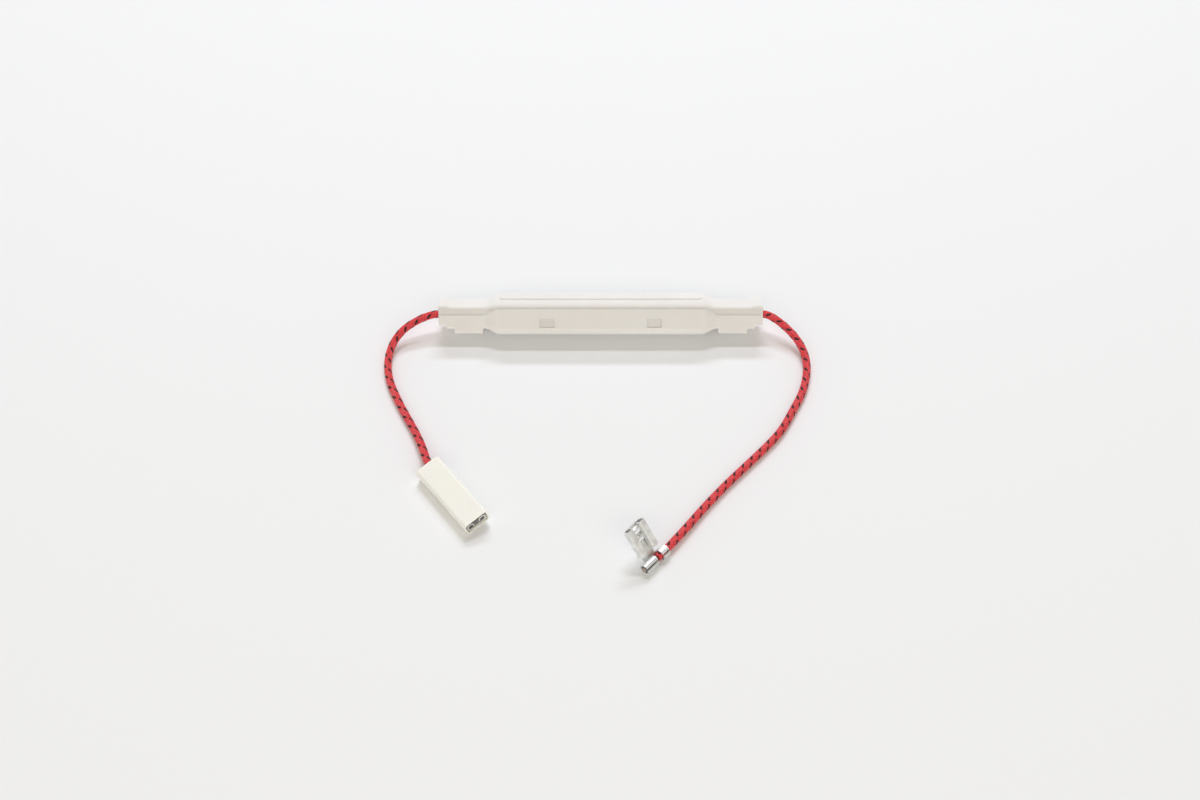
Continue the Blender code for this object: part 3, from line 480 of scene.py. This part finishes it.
soften_edges("case_base", CASE_EDGE, SEAM_SWELL)
soften_edges("case_lid", CASE_EDGE, SEAM_SWELL, barbs=True)
soften_edges("terminal_sleeve", SLEEVE_EDGE)
softened = [name for name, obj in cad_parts.items() if len(obj.modifiers)]
print("softened:", softened)

# %% [markdown]
# ## The lead's route
#
# A lead is one smooth curve. It runs straight out of the clip through the case's neck, bends down to the
# table in the way the photograph shows, and ends straight in its terminal. The route repeats the solid
# model's points, so that the braid made here lies exactly where the solid lead lies. First come the points
# of the bends, which were chosen along the photographed leads.

# %% Bends of the two leads
LEFT_BENDS = [
    (-0.0512, -0.0007, 0.0061),
    (-0.0552, -0.0024, 0.0055),
    (-0.0594, -0.0051, 0.0041),
    (-0.0623, -0.0093, 0.0024),
    (-0.0633, -0.0152, 0.0014),
    (-0.0622, -0.0223, 0.0012),
    (-0.0592, -0.0300, 0.0012),
    (-0.0561, -0.0364, 0.0012),
    (-0.0533, -0.0420, 0.0014),
    (-0.0508, -0.0481, 0.0020),
    (-0.0493, -0.0526, 0.0024),
]
RIGHT_BENDS = [
    (0.0510, -0.0009, 0.0060),
    (0.0548, -0.0036, 0.0050),
    (0.0586, -0.0077, 0.0034),
    (0.0608, -0.0126, 0.0020),
    (0.0611, -0.0185, 0.0013),
    (0.0593, -0.0264, 0.0012),
    (0.0559, -0.0338, 0.0012),
    (0.0517, -0.0417, 0.0012),
    (0.0464, -0.0484, 0.0012),
    (0.0404, -0.0551, 0.0012),
    (0.0344, -0.0619, 0.0012),
    (0.0288, -0.0688, 0.0013),
    (0.0239, -0.0754, 0.0015),
]
print("points in the bends:", len(LEFT_BENDS), len(RIGHT_BENDS))

# %% [markdown]
# ## The straight ends
#
# In the case's neck and in the terminals a lead is straight, because clips, crimps and grips hold it
# there. Those points come from the sizes of the solid model, measured along the case and along each
# terminal.

# %% Straight ends of the two leads
LEAD_RADIUS = 0.00113
SNUG = 0.0002
CRIMP_RAMP = 0.0006
CASE_HALF = 0.0484
END_LENGTH = 0.0023
FUSE_LENGTH = 0.0400
CLIP_SET_BACK = 0.0008
CLIP_TAIL = 0.0018
CLIP_RAMP = 0.0020
CLIP_CRIMP = 0.0040
SLEEVE_LENGTH = 0.0240
MOUTH_SET_BACK = 0.0004
SPADE_LENGTH = 0.0064
SPADE_NECK = 0.0014
SPADE_CRIMP = 0.0034
SPADE_GRIP = 0.0028
GRIP_GAP = 0.0010
FLAG_CRIMP = 0.0044
FLAG_GRIP = 0.0026
FLAG_GRIP_GAP = 0.0019

clip_crimp_start = FUSE_LENGTH / 2 - CLIP_SET_BACK + CLIP_TAIL + CLIP_RAMP
clip_lead_start = clip_crimp_start + CLIP_CRIMP + CRIMP_RAMP + SNUG
in_case = [clip_lead_start, (clip_lead_start + CASE_HALF) / 2, CASE_HALF - END_LENGTH, CASE_HALF]

spade_crimp_end = SLEEVE_LENGTH / 2 - MOUTH_SET_BACK - SPADE_LENGTH - SPADE_NECK
spade_lead_end = spade_crimp_end - SPADE_CRIMP - CRIMP_RAMP - SNUG
spade_grip_start = spade_crimp_end - SPADE_CRIMP - GRIP_GAP - SPADE_GRIP
sleeve_rear = -SLEEVE_LENGTH / 2 + 2 * LEAD_RADIUS
in_sleeve = [sleeve_rear, (sleeve_rear + spade_grip_start) / 2, spade_grip_start, spade_lead_end]

flag_grip_start = FLAG_CRIMP + FLAG_GRIP_GAP
flag_grip_end = flag_grip_start + FLAG_GRIP
flag_lead_end = FLAG_CRIMP + CRIMP_RAMP + SNUG
in_flag = [flag_grip_end + 2 * LEAD_RADIUS, flag_grip_end, flag_grip_start, flag_lead_end]
print("a lead starts", round(clip_lead_start * MM_PER_METRE, 1), "mm from the middle of the case")

# %% [markdown]
# ## A smooth curve through the points
#
# The curve has to pass through every point. Each stretch between two points is a cubic that also looks at
# the point before and the point after, so the stretches join without a kink and need no handles.

# %% Routes of the two leads
BRAID_STEP = 0.0003


def curve_between(before, start, end, after, share):
    square = share * share
    cube = square * share
    return (
        start * 2
        + (end - before) * share
        + (before * 2 - start * 5 + end * 4 - after) * square
        + (start * 3 - before - end * 3 + after) * cube
    ) / 2


def smooth_route(points, spacing):
    nodes = [Vector(point) for point in points]
    nodes = [nodes[0] * 2 - nodes[1]] + nodes + [nodes[-1] * 2 - nodes[-2]]
    route = [nodes[1]]
    for k in range(1, len(nodes) - 2):
        steps = max(1, round((nodes[k + 1] - nodes[k]).length / spacing))
        for step in range(1, steps + 1):
            route.append(curve_between(*nodes[k - 1 : k + 3], step / steps))
    return route


def route_length(route):
    return sum((b - a).length for a, b in zip(route, route[1:]))


def on_axis(matrix, places):
    return [matrix @ Vector((x, 0, 0)) for x in places]


left_points = on_axis(case_frame, [-x for x in in_case]) + LEFT_BENDS + on_axis(sleeve_frame, in_sleeve)
right_points = on_axis(case_frame, in_case) + RIGHT_BENDS + on_axis(flag_frame, in_flag)
left_route = smooth_route(left_points, BRAID_STEP)
right_route = smooth_route(right_points, BRAID_STEP)
for side, route in (("left", left_route), ("right", right_route)):
    print(side, "lead:", round(route_length(route) * MM_PER_METRE, 1), "mm")

# %% [markdown]
# ## Tubes along a route
#
# Everything on a lead is placed by how far along it lies and how far round. Each point of the route gets
# an upward and a sideways direction, turned as little as possible from the last ones, so that nothing on
# the lead twists where the lead bends. A ring of points at each place, joined to the next ring, makes a
# tube.

# %% Frames and tubes
def ring_frames(route):
    """A point, an upward and a sideways direction for each place, carried along with the least turning."""
    up = Vector((0, 0, 1))
    frames = []
    for k, point in enumerate(route):
        before = route[max(k - 1, 0)]
        after = route[min(k + 1, len(route) - 1)]
        tangent = (after - before).normalized()
        up = (up - tangent * up.dot(tangent)).normalized()
        frames.append((point, up, tangent.cross(up)))
    return frames


def unit_circle(sides):
    angles = [2 * math.pi * k / sides for k in range(sides)]
    return [(math.cos(angle), math.sin(angle)) for angle in angles]


def round_rings(frames, radius, sides):
    circle = unit_circle(sides)
    return [[point + (up * c + side * s) * radius for c, s in circle] for point, up, side in frames]


def add_tube(points, faces, rings):
    """Adds quads between equal rings of points, and a face on each end."""
    count = len(rings[0])
    first = len(points)
    for ring in rings:
        points.extend(ring)
    for k in range(len(rings) - 1):
        low, high = first + k * count, first + (k + 1) * count
        for j in range(count):
            n = (j + 1) % count
            faces.append((low + j, low + n, high + n, high + j))
    last = first + (len(rings) - 1) * count
    faces.append(tuple(reversed(range(first, first + count))))
    faces.append(tuple(range(last, last + count)))


left_frames = ring_frames(left_route)
right_frames = ring_frames(right_route)
print("places along the leads:", len(left_frames), len(right_frames))

# %% [markdown]
# ## Braided glass yarn
#
# The jacket is glass yarn, braided over silicone rubber on a machine with sixteen bobbins. Eight yarns
# wind one way and eight the other, and each passes over two and under two, which gives the small
# herringbone. Two yarns of one direction are black, half a turn apart, and show as slanting dashes in a
# steady spiral. They are a little wider than the red ones and ride higher, because the photographed
# dashes are long. A picture of a braid would need a texture, and it would be flat at the lead's edge, so
# the yarns are made as they are: sixteen flat ribbons that dip and rise. The lay is the length in which a
# yarn goes once round.

# %% Yarn paths
YARNS_EACH_WAY = 8
LEFT_LAY = 0.0082
RIGHT_LAY = 0.0077
LEFT_START = 0.0022
YARN_WIDTH = 0.00055
TRACER_WIDTH = 0.00062
TRACER_RISE = 1.1
TRACER_LIFT = 0.00002
YARN_THICKNESS = 0.00016
LAYER_ROOM = 1.03
BRAID_STANDS_PROUD = 0.00004
CROSSINGS_IN_WAVE = 4
WAVE_STEEPNESS = 1.7
OVER = LEAD_RADIUS + BRAID_STANDS_PROUD - YARN_THICKNESS / 2
UNDER = OVER - YARN_THICKNESS * LAYER_ROOM


def yarn_centre(index, way, along, lay, rise):
    """How far round a yarn lies, and its distance from the lead's middle, at a distance along the lead."""
    advance = along * YARNS_EACH_WAY / lay
    turn = (index + 0.5 - way * advance) / YARNS_EACH_WAY
    crossing = index + index + 0.5 - way * 2 * advance
    wave = way * math.sin(2 * math.pi * crossing / CROSSINGS_IN_WAVE)
    level = max(-1.0, min(1.0, WAVE_STEEPNESS * wave + rise))
    level = math.sin(level * math.pi / 2)
    return turn, (OVER + UNDER) / 2 + (OVER - UNDER) / 2 * level + rise * TRACER_LIFT


print("angle of the yarns:", round(math.degrees(math.atan(2 * math.pi * OVER / RIGHT_LAY))), "degrees")

# %% [markdown]
# ## Sixteen ribbons
#
# Each yarn is a closed, flattened tube of six points. Its width lies along the lead's skin, across the
# yarn's own direction, and is bent a little to follow the roundness of the lead.

# %% Ribbons of yarn
YARN_SIDES = 6


def yarn_rings(frames, index, way, start, lay, width, rise):
    centres, travelled = [], 0.0
    for k, (point, up, side) in enumerate(frames):
        if k:
            travelled += (point - frames[k - 1][0]).length
        turn, radius = yarn_centre(index, way, travelled + start, lay, rise)
        angle = 2 * math.pi * turn
        outward = up * math.cos(angle) + side * math.sin(angle)
        centres.append((point + outward * radius, outward, radius))
    rings = []
    for k, (centre, outward, radius) in enumerate(centres):
        before = centres[max(k - 1, 0)][0]
        after = centres[min(k + 1, len(centres) - 1)][0]
        across = outward.cross(after - before).normalized()
        ring = []
        for wide, thick in unit_circle(YARN_SIDES):
            reach = wide * width / 2
            bend = reach * reach / (2 * radius)
            ring.append(centre + across * reach + outward * (thick * YARN_THICKNESS / 2 - bend))
        rings.append(ring)
    return rings


print("points round a yarn:", YARN_SIDES)

# %% [markdown]
# ## Filaments
#
# A yarn is a bundle of fine filaments under a thin varnish. Streaks that run along it break up the colour
# and the gloss, and a fine relief does the rest. The streaks follow the yarn because its own map counts
# millimetres along it and a share across it.

# %% Group: filaments
def make_filament_group():
    inputs = (("Streaks Across", 9.0), ("Streaks Along", 0.35), ("Unevenness", 0.5))
    tree, inside, outside = new_group("filaments", "ShaderNodeTree", inputs, ("Streak", "Height"))
    place = add_node(tree, "ShaderNodeUVMap", uv_map="along_and_across")
    split = add_node(tree, "ShaderNodeSeparateXYZ")
    joined = add_node(tree, "ShaderNodeCombineXYZ")
    wire(tree, place.outputs["UV"], split.inputs["Vector"])
    for axis, scale in (("X", "Streaks Along"), ("Y", "Streaks Across")):
        stretch = add_node(tree, "ShaderNodeMath", operation="MULTIPLY")
        wire(tree, split.outputs[axis], stretch.inputs[0])
        wire(tree, inside.outputs[scale], stretch.inputs[1])
        wire(tree, stretch.outputs["Value"], joined.inputs[axis])
    noise = add_node(tree, "ShaderNodeTexNoise")
    noise.inputs["Scale"].default_value = 1.0
    noise.inputs["Detail"].default_value = 3.0
    wire(tree, joined.outputs["Vector"], noise.inputs["Vector"])
    wire(tree, inside.outputs["Unevenness"], noise.inputs["Roughness"])
    wire(tree, noise.outputs["Fac"], outside.inputs["Streak"])
    wire(tree, noise.outputs["Fac"], outside.inputs["Height"])
    return tree


filament_group = make_filament_group()
print("filament sockets:", [item.name for item in filament_group.interface.items_tree])

# %% [markdown]
# ## Red yarn, black yarn and rubber
#
# The red yarns are varnished but still a little downy, so they get a pale pink sheen where the eye grazes
# them. The black ones have none. The rubber under them shows only between the yarns, and its colour is
# painted darker: painted shade for the gaps between the yarns.

# %% Finishes: yarn and rubber
def yarn_finish(name, light, dark, sheen):
    material, tree, shader = new_finish(name)
    filaments = add_node(tree, "ShaderNodeGroup", node_tree=filament_group)
    add_ramp(tree, filaments.outputs["Streak"], shader.inputs["Base Color"], dark, light)
    add_ramp(tree, filaments.outputs["Streak"], shader.inputs["Roughness"], low=0.62, high=0.45)
    shader.inputs["Specular IOR Level"].default_value = 0.35
    shader.inputs["Sheen Weight"].default_value = sheen
    shader.inputs["Sheen Roughness"].default_value = 0.35
    shader.inputs["Sheen Tint"].default_value = (1.0, 0.80, 0.86, 1)
    add_bump(tree, filaments.outputs["Height"], shader, strength=0.35, distance=0.00003)
    return material


red_yarn = yarn_finish("red_glass_yarn", (0.90, 0.075, 0.085), (0.70, 0.028, 0.040), sheen=0.6)
black_yarn = yarn_finish("black_glass_yarn", (0.055, 0.020, 0.022), (0.020, 0.010, 0.012), sheen=0.0)
# The rubber's colour is painted darker than the yarns': painted shade for the gaps between them.
rubber_painted_shade, *_ = uneven_finish(
    "red_silicone_rubber_painted_shade", (0.42, 0.014, 0.018), (0.55, 0.022, 0.028),
    smooth=0.5, rough=0.65, drift_scale=400, grain_scale=5000,
)
print("yarn finishes:", red_yarn.name, black_yarn.name, rubber_painted_shade.name)

# %% [markdown]
# ## The braid's mesh
#
# One mesh holds the rubber and the sixteen yarns of a lead. Each yarn starts at its own place in the
# streaks, so that no two of them look alike.

# %% Mesh of a braided lead
RUBBER_RADIUS = 0.00084
RUBBER_SIDES = 16
TRACER_EVERY = 4
YARN_SHIFT = 37.0
WAY_SHIFT = 411.0
FINISHES = (rubber_painted_shade, red_yarn, black_yarn)


def yarn_map(rings, shift):
    """Places on the yarn's own map, for the corners of the faces that add_tube makes."""
    lengths = [0.0]
    for a, b in zip(rings, rings[1:]):
        lengths.append(lengths[-1] + (b[0] - a[0]).length * MM_PER_METRE)
    places = []
    for k in range(len(rings) - 1):
        low, high = lengths[k] + shift, lengths[k + 1] + shift
        for j in range(YARN_SIDES):
            left, right = j / YARN_SIDES, (j + 1) / YARN_SIDES
            places += [(low, left), (low, right), (high, right), (high, left)]
    return places + [(shift, 0.0)] * (2 * YARN_SIDES)


def braided_mesh(name, frames, start, lay):
    points, faces = [], []
    add_tube(points, faces, round_rings(frames, RUBBER_RADIUS, RUBBER_SIDES))
    finishes = [FINISHES.index(rubber_painted_shade)] * len(faces)
    maps = [(0.0, 0.0)] * sum(len(face) for face in faces)
    for way in (1, -1):
        for index in range(YARNS_EACH_WAY):
            black = way == 1 and index % TRACER_EVERY == 0
            width, rise = (TRACER_WIDTH, TRACER_RISE) if black else (YARN_WIDTH, 0.0)
            rings = yarn_rings(frames, index, way, start, lay, width, rise)
            before = len(faces)
            add_tube(points, faces, rings)
            finishes += [FINISHES.index(black_yarn if black else red_yarn)] * (len(faces) - before)
            maps += yarn_map(rings, YARN_SHIFT * index + WAY_SHIFT * (way + 1))
    mesh = bpy.data.meshes.new(name)
    mesh.from_pydata(points, [], faces)
    for material in FINISHES:
        mesh.materials.append(material)
    mesh.polygons.foreach_set("material_index", finishes)
    mesh.polygons.foreach_set("use_smooth", [True] * len(faces))
    layer = mesh.uv_layers.new(name="along_and_across")
    layer.data.foreach_set("uv", [value for pair in maps for value in pair])
    mesh.update()
    return mesh


left_mesh = braided_mesh("left_braid", left_frames, LEFT_START, LEFT_LAY)
right_mesh = braided_mesh("right_braid", right_frames, 0.0, RIGHT_LAY)
print("faces in the braids:", len(left_mesh.polygons), len(right_mesh.polygons))

# %% [markdown]
# ## Bare strands
#
# Under the braid the conductor is a bundle of thin tinned copper strands. They show at the open end of
# each crimp, where they are cut a little unevenly. Seven strands twisted round each other replace the
# plain core: with six round one, three strands lie across the core's width.

# %% Strands
CORE_RADIUS = 0.00075
STRAND_RADIUS = CORE_RADIUS / 3
STRANDS_AROUND = 6
STRAND_SLACK = 0.97
STRAND_TWIST = 0.010
STRAND_STEPS = 16
STRAND_SIDES = 10
CUT_SPREAD = 0.00025

# The copper's colour is painted darker than bright tin: painted shade for the dark pits among the cut
# strands at a crimp's open end.
tinned_copper, copper_tree, copper_shader, copper_uneven = uneven_finish(
    "tinned_copper", (0.34, 0.28, 0.24), (0.58, 0.52, 0.47),
    smooth=0.25, rough=0.42, drift_scale=900, grain_scale=9000,
)
copper_shader.inputs["Metallic"].default_value = 1.0
add_bump(copper_tree, copper_uneven.outputs["Height"], copper_shader, strength=0.15, distance=0.00003)


def strand_rings(index, start, end):
    """Strand 0 lies in the middle, and the others twist round it."""
    off_axis = 2 * STRAND_RADIUS if index else 0
    points = []
    for step in range(STRAND_STEPS + 1):
        x = start + (end - start) * step / STRAND_STEPS
        turn = 2 * math.pi * (index / STRANDS_AROUND + x / STRAND_TWIST)
        points.append(Vector((x, off_axis * math.cos(turn), off_axis * math.sin(turn))))
    return round_rings(ring_frames(points), STRAND_RADIUS * STRAND_SLACK, STRAND_SIDES)


def strand_bundle(name, node, matrix, start, end, seed):
    chance = random.Random(seed)
    points, faces = [], []
    for index in range(1 + STRANDS_AROUND):
        cut = start - chance.uniform(0, CUT_SPREAD)
        add_tube(points, faces, strand_rings(index, cut, end))
    mesh = bpy.data.meshes.new(name)
    mesh.from_pydata([matrix @ point for point in points], [], faces)
    mesh.polygons.foreach_set("use_smooth", [len(face) == 4 for face in faces])
    mesh.materials.append(tinned_copper)
    obj = bpy.data.objects.new(name, mesh)
    scene.collection.objects.link(obj)
    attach(obj, "root")
    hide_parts(node)
    return obj


flag_strands = strand_bundle(
    "flag_strands", "right_outer_core", flag_frame, -SNUG, FLAG_CRIMP + CRIMP_RAMP, seed=3
)
spade_turn = sleeve_frame @ Matrix.Translation((spade_crimp_end, 0, 0)) @ Matrix.Rotation(math.pi, 4, "Z")
spade_strands = strand_bundle(
    "spade_strands", "left_outer_core", spade_turn, -SNUG, SPADE_CRIMP + CRIMP_RAMP, seed=5
)
print("faces in the strands:", len(flag_strands.data.polygons), len(spade_strands.data.polygons))

# %% [markdown]
# ## The leads
#
# Each braid replaces its plain solid lead, which is hidden. The photograph shows both leads from end to
# end, so nothing is added.

# %% Leads
def make_lead(name, mesh, node):
    lead = bpy.data.objects.new(name, mesh)
    scene.collection.objects.link(lead)
    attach(lead, "root")
    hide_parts(node)
    return lead


left_lead = make_lead(
    "left_braided_lead", left_mesh, "left_lead",
)
right_lead = make_lead(
    "right_braided_lead", right_mesh, "right_lead",
)
print("leads:", left_lead.name, right_lead.name)

# %% [markdown]
# ## Tin plate
#
# The terminals and the fuse's clips are stamped from brass strip and plated with tin. The plating is
# bright but soft, so handling leaves a faint milky bloom on it, and its gloss changes from place to
# place. Colour and roughness both follow the slow drift, so that the whiter spots are the duller ones.

# %% Finish: tin plate
def metal_finish(name, light, dark, smooth, rough, relief):
    material, tree, shader = new_finish(name)
    uneven = add_uneven(tree, drift_scale=500, grain_scale=7000, grain_share=0.35)
    add_ramp(tree, uneven.outputs["Drift"], shader.inputs["Base Color"], dark, light)
    add_ramp(tree, uneven.outputs["Drift"], shader.inputs["Roughness"], smooth, rough, 0.3, 0.7)
    shader.inputs["Metallic"].default_value = 1.0
    add_bump(tree, uneven.outputs["Height"], shader, relief, distance=0.00004)
    return material


tin_plate = metal_finish(
    "tin_plate", (0.90, 0.905, 0.90), (0.70, 0.71, 0.705), smooth=0.46, rough=0.62, relief=0.2
)
set_finish(tin_plate, "flag_terminal", "spade_terminal", "left_fuse_clip", "right_fuse_clip")
print("terminal finish:", tin_plate.name)

# %% [markdown]
# ## The fuse's own metals
#
# Inside the case the same function makes the other metals. Nickel plate on the caps is the smoothest, the
# spring is drawn steel, and solder sets with a lumpy skin. The fine wire and the bare strands in the
# clips are tinned copper.

# %% Finishes: nickel, steel and solder
nickel = metal_finish(
    "nickel_plate", (0.74, 0.71, 0.66), (0.64, 0.61, 0.57), smooth=0.12, rough=0.24, relief=0.15
)
spring_steel = metal_finish(
    "spring_steel", (0.52, 0.52, 0.53), (0.38, 0.38, 0.39), smooth=0.22, rough=0.38, relief=0.2
)
solder = metal_finish("solder", (0.66, 0.66, 0.65), (0.50, 0.50, 0.49), smooth=0.28, rough=0.5, relief=0.5)
set_finish(nickel, "left_end_cap", "right_end_cap")
set_finish(spring_steel, "tension_spring")
set_finish(solder, "left_solder_drop", "right_solder_drop", "solder_joint")
# This copper finish carries painted shade: its colour is darker than bright tin.
set_finish(tinned_copper, "fuse_wire", "left_inner_core", "right_inner_core")
print("metals:", [metal.name for metal in (nickel, spring_steel, solder, tinned_copper)])

# %% [markdown]
# ## Sleeve and glass
#
# The sleeve is a softer, creamier plastic than the case, thin enough to glow a little at its mouth. The
# fuse's own glass tube is clear, and it is seen only when the lid is off.

# %% Finishes: sleeve and glass
IVORY_DEPTH = 0.0002

ivory = nylon_finish("ivory_sleeve", (0.985, 0.945, 0.875), (0.975, 0.93, 0.85), IVORY_DEPTH)
set_finish(ivory, "terminal_sleeve")

clear_glass, _, glass_shader, _ = uneven_finish(
    "clear_glass", (0.90, 0.96, 0.95), (0.96, 0.99, 0.98),
    smooth=0.02, rough=0.05, drift_scale=60, grain_scale=400,
)
glass_shader.inputs["Transmission Weight"].default_value = 1.0
set_finish(clear_glass, "fuse_tube")
print("sleeve and glass:", ivory.name, clear_glass.name)
